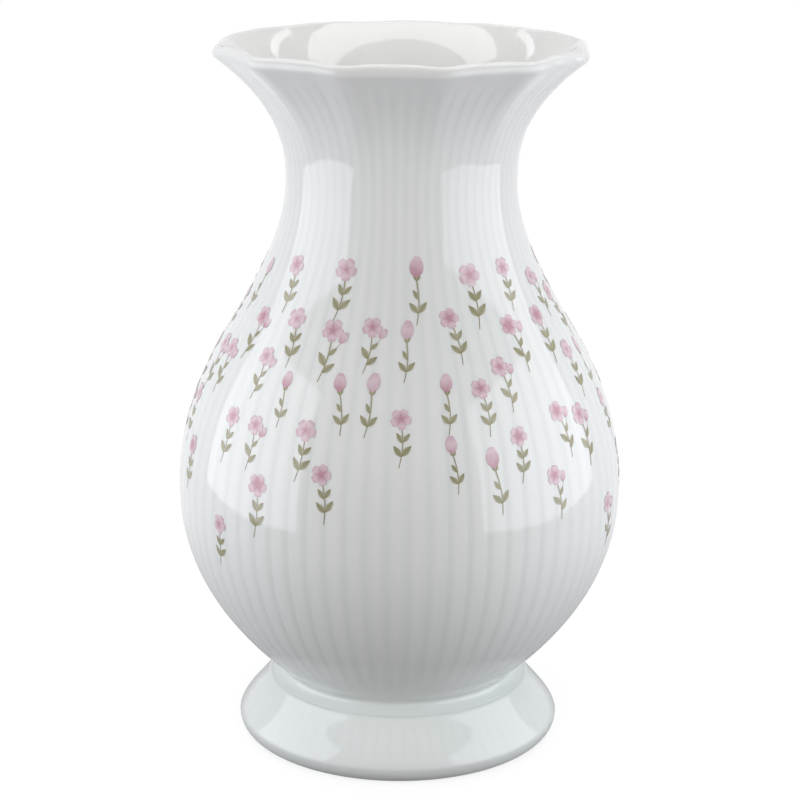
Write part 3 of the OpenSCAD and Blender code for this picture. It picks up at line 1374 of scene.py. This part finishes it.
@dataclass
class BlossomPrint:
    """The printed sprigs, scattered over the shoulder and the upper belly."""

    form: VaseForm
    relief: MouldRelief
    vessel: Vessel
    shapes: PrintShapes = field(default_factory=PrintShapes)
    seed: int = 52
    # Each row: how many sprigs, the height of their middle and how far that may differ
    rows: tuple[tuple[int, float, float], ...] = (
        (16, 134.0, 3.0),
        (24, 124.0, 3.0),
        (25, 111.5, 3.5),
        (21, 98.5, 4.0),
        (11, 84.5, 4.5),
        (4, 69.5, 4.0),
    )
    jitter: float = 0.36
    tries: int = 24
    lean: float = 9.0
    size_spread: float = 0.1
    clear_across: float = 7.2
    clear_along: float = 14.0
    stand_off: float = 1.0
    # How high each layer of the print lies above the glaze
    lifts: dict[str, float] = field(default_factory=lambda: {"stem": 0.06, "leaf": 0.075, "flower": 0.09})

    def places(self) -> list[Point]:
        """Draws the sprigs' places row by row, with none over another.

        Returns:
            The bearing in degrees and the height of each sprig.
        """
        draw = random.Random(self.seed)
        taken: list[Point] = []
        for count, height, spread in self.rows:
            pitch = 360 / count
            first = draw.uniform(0, pitch)
            for i in range(count):
                for _ in range(self.tries):
                    bearing = first + pitch * (i + draw.uniform(-self.jitter, self.jitter))
                    middle = height + draw.uniform(-spread, spread)
                    if all(self.is_clear(bearing, middle, other) for other in taken):
                        taken.append((bearing, middle))
                        break
        return taken

    def is_clear(self, bearing: float, height: float, other: Point) -> bool:
        """Tells whether a sprig leaves room for another one.

        Args:
            bearing: its bearing in degrees.
            height: its height.
            other: bearing and height of the other.

        Returns:
            True where they don't touch.
        """
        radius = self.form.skin(height).radius
        across = abs(math.remainder(bearing - other[0], 360)) * math.pi / 180 * radius
        return across > self.clear_across or abs(height - other[1]) > self.clear_along

    def stand(self, bearing: float, height: float, lean: float, size: float) -> Matrix:
        """Stands a flat sprig just off the skin, upright but for its lean.

        Args:
            bearing: the angle from +X in degrees.
            height: the height of its middle.
            lean: its turn to the side in degrees.
            size: its size, where 1 is as modelled.

        Returns:
            The sprig's place.
        """
        skin = self.form.skin(height)
        angle = math.radians(bearing)
        out = Vector((math.cos(angle), math.sin(angle), 0))
        right = Vector((-math.sin(angle), math.cos(angle), 0))
        up = (out * skin.slope + Vector((0, 0, 1))).normalized()
        normal = right.cross(up)
        place = (out * skin.radius + Vector((0, 0, height)) + normal * self.stand_off) * MM
        turn = Matrix((right, up, normal)).transposed().to_4x4()
        leaning = Matrix.Rotation(math.radians(lean), 4, "Z")
        return Matrix.Translation(place) @ turn @ leaning @ Matrix.Scale(size, 4)

    def build(self) -> None:
        """Scatters the sprigs, wraps them on the smooth vessel and presses the ribs into them."""
        sprigs = self.shapes.sprigs()
        draw = random.Random(self.seed + 1)
        weights = [kind.value.weight for kind in Kind]
        layers: dict[str, list[Object]] = {name: [] for name in self.lifts}
        for bearing, height in self.places():
            kind = draw.choices(list(Kind), weights=weights)[0]
            lean = draw.uniform(-self.lean, self.lean)
            spot = self.stand(bearing, height, lean, 1 + draw.uniform(-self.size_spread, self.size_spread))
            for name, obj in sprigs[kind].items():
                layers[name].append(copy_of(obj, spot))
        for parts in sprigs.values():
            remove(*parts.values())
        finishes = {"stem": Finish.STEM, "leaf": Finish.LEAF, "flower": Finish.PETAL}
        wrap = {
            "target": self.vessel.smooth,
            "wrap_method": "NEAREST_SURFACEPOINT",
            "wrap_mode": "ABOVE_SURFACE",
        }
        for name, parts in layers.items():
            piece = join(f"{name}_print", parts)
            apply_modifier(piece, "SHRINKWRAP", offset=self.lifts[name] * MM, **wrap)
            self.relief.press(piece)
            finish_piece(piece, finishes[name])


# The studio


@dataclass(frozen=True)
class Panel:
    """A lamp with a flat, evenly bright face, out of the camera's sight."""

    name: str
    place: Sequence[float]
    size: Pair
    # How bright the face is, where 1 is white
    radiance: float
    target: Sequence[float] = (0.0, 0.0, 100.0)
    colour: str = "#FFFFFF"
    # The angle in degrees that its light is held in to, where a grid holds it in
    spread: float | None = None
    mirrored: bool = True

    def hang(self) -> None:
        """Adds the lamp and turns it to its target."""
        place = Vector(self.place)
        deselect_all()
        bpy.ops.object.light_add(type="AREA", location=place * MM)
        lamp = bpy.context.object
        lamp.name = self.name
        lamp.rotation_mode = "QUATERNION"
        lamp.rotation_quaternion = (Vector(self.target) - place).to_track_quat("-Z", "Y")
        light = lamp.data
        light.shape = "RECTANGLE"
        light.size, light.size_y = self.size[0] * MM, self.size[1] * MM
        light.energy = self.radiance * math.pi * light.size * light.size_y
        light.color = linear(self.colour)[:3]
        if self.spread:
            light.spread = math.radians(self.spread)
        lamp.visible_camera = False
        lamp.visible_glossy = self.mirrored


@dataclass
class Studio:
    """Camera, lamps, floor and world."""

    lens: float = 103.56
    sensor: float = 36.0
    camera_away: float = 631.9
    camera_up: float = 277.0
    pitch: float = 15.82
    roll: float = 0.42
    # How near and how far the camera sees, in metres
    clip: Pair = (0.01, 20.0)
    # The soft box on either side: where its front and its rear edge stand, and how bright it is
    sides: tuple[tuple[str, Point, Point, float], ...] = (
        ("soft_box_left", (-235.0, -215.0), (-430.0, 160.0), 1.6),
        ("soft_box_right", (222.0, -280.0), (430.0, 160.0), 1.4),
    )
    side_bottom: float = 14.0
    side_top: float = 300.0
    side_spread: float = 150.0
    side_colour: str = "#F5F8FF"
    panels: tuple[Panel, ...] = (
        Panel("soft_box_top", (10.0, 170.0, 1150.0), (1600.0, 420.0), 2.76, target=(10.0, 170.0, 0.0)),
        Panel("strip_left", (-535.0, 715.0, 960.0), (100.0, 400.0), 2.2),
        Panel("strip_right", (535.0, 715.0, 960.0), (100.0, 400.0), 2.2),
        Panel("rear_panel", (0.0, 700.0, 900.0), (700.0, 400.0), 0.9),
        Panel(
            "fill_panel", (0.0, -1350.0, 1000.0), (2500.0, 1100.0), 1.22, colour="#FFFCF6", mirrored=False
        ),
    )
    ambient: float = 0.13
    floor_size: float = 8000.0
    floor_drop: float = 0.05
    floor_colour: str = "#9E9E9E"
    floor_glow: float = 0.75
    glow_in_glaze: float = 0.3
    fade_start: float = 55.0
    fade_end: float = 240.0

    def camera(self) -> None:
        """Sets the camera at the photograph's place and angle."""
        deselect_all()
        bpy.ops.object.camera_add(location=(0, -self.camera_away * MM, self.camera_up * MM))
        camera = bpy.context.object
        camera.name = "camera"
        camera.rotation_mode = "QUATERNION"
        tilt = Euler((math.radians(90 - self.pitch), 0, 0)).to_quaternion()
        camera.rotation_quaternion = tilt @ Quaternion((0, 0, 1), math.radians(self.roll))
        camera.data.lens = self.lens
        camera.data.sensor_width = self.sensor
        camera.data.clip_start, camera.data.clip_end = self.clip
        bpy.context.scene.camera = camera

    def lamps(self) -> None:
        """Stands a soft box on either side and hangs the others overhead, behind and in front.

        The strips and the rear panel are what the inside of the mouth mirrors. The fill lights the front
        without a reflection.
        """
        for name, front, rear, radiance in self.sides:
            side = math.copysign(1, front[0])
            middle = Vector((front[0] + rear[0], front[1] + rear[1], self.side_bottom + self.side_top)) / 2
            inwards = Vector((front[1] - rear[1], rear[0] - front[0], 0)) * side
            size = math.hypot(rear[0] - front[0], rear[1] - front[1]), self.side_top - self.side_bottom
            Panel(name, middle, size, radiance, middle + inwards, self.side_colour, self.side_spread).hang()
        for panel in self.panels:
            panel.hang()

    def seen(self, tree: Tree) -> Socket:
        """Adds the test for a ray that shows the background.

        Args:
            tree: the node tree that takes it.

        Returns:
            The test's output: 1 for a ray from the camera, a reflection or a refraction.
        """
        path = add_node(tree, "LightPath").outputs
        rays = {0: path["Is Camera Ray"], 1: path["Is Glossy Ray"]}
        mirrored = add_node(tree, "Math", rays, operation="MAXIMUM").outputs[0]
        rays = {0: mirrored, 1: path["Is Transmission Ray"]}
        return add_node(tree, "Math", rays, operation="MAXIMUM").outputs[0]

    def world(self) -> None:
        """Gives the world a white background and a low, even light."""
        world = bpy.data.worlds.new("white_room")
        bpy.context.scene.world = world
        world.use_nodes = True
        tree = world.node_tree
        tree.nodes.clear()
        white = add_node(tree, "Background", {"Color": WHITE, "Strength": 1.0}).outputs[0]
        room = add_node(tree, "Background", {"Color": WHITE, "Strength": self.ambient}).outputs[0]
        mixed = add_node(tree, "MixShader", {0: self.seen(tree), 1: room, 2: white}).outputs[0]
        add_node(tree, "OutputWorld", {"Surface": mixed})

    def floor(self) -> None:
        """Lays the pale floor, which keeps the vase's shadow and fades to the white background.

        Its glow is for the camera, and in part for reflections, and lights nothing.
        """
        deselect_all()
        bpy.ops.mesh.primitive_plane_add(size=self.floor_size * MM, location=(0, 0, -self.floor_drop * MM))
        floor = bpy.context.object
        floor.name = "floor"
        material = bpy.data.materials.new("white_laminate_table")
        material.use_nodes = True
        tree = material.node_tree
        tree.nodes.clear()
        table = add_node(tree, "BsdfDiffuse", {"Color": linear(self.floor_colour)}).outputs[0]
        glow = add_node(tree, "Emission", {"Color": WHITE, "Strength": self.floor_glow}).outputs[0]
        white = add_node(tree, "Emission", {"Color": WHITE, "Strength": 1.0}).outputs[0]
        clear = add_node(tree, "BsdfTransparent").outputs[0]
        near = add_node(tree, "AddShader", {0: table, 1: glow}).outputs[0]
        path = add_node(tree, "LightPath").outputs
        rays = {0: path["Is Glossy Ray"], 1: self.glow_in_glaze}
        mirrored = add_node(tree, "Math", rays, operation="MULTIPLY").outputs[0]
        rays = {0: path["Is Camera Ray"], 1: mirrored}
        glowing = add_node(tree, "Math", rays, operation="MAXIMUM").outputs[0]
        lit = add_node(tree, "MixShader", {0: glowing, 1: table, 2: near}).outputs[0]
        place = add_node(tree, "TexCoord").outputs["Object"]
        away = add_node(tree, "VectorMath", {0: place}, operation="LENGTH").outputs["Value"]
        fade = {"Value": away, "From Min": self.fade_start * MM, "From Max": self.fade_end * MM}
        faded = add_node(tree, "MapRange", fade, interpolation_type="SMOOTHSTEP").outputs["Result"]
        share = add_node(tree, "Math", {0: faded, 1: self.seen(tree)}, operation="MULTIPLY").outputs[0]
        top = add_node(tree, "MixShader", {0: share, 1: lit, 2: white}).outputs[0]
        back = add_node(tree, "NewGeometry").outputs["Backfacing"]
        both = add_node(tree, "MixShader", {0: back, 1: top, 2: clear}).outputs[0]
        add_node(tree, "OutputMaterial", {"Surface": both})
        floor.data.materials.append(material)

    def build(self) -> None:
        """Sets up the whole studio."""
        self.camera()
        self.lamps()
        self.world()
        self.floor()
        bpy.context.scene.view_settings.view_transform = "Standard"


def main() -> None:
    """Builds the vase and the studio, and reports each piece."""
    logging.basicConfig(level=logging.INFO, format="%(name)s: %(message)s")
    form = VaseForm()
    relief = MouldRelief(form)
    Studio().build()
    vessel = Vessel(form, relief)
    vessel.turn()
    BlossomPrint(form, relief, vessel).build()
    vessel.build()
    SlipFillet(form).build()
    Foot(form, relief).build()


if __name__ == "__main__":
    main()
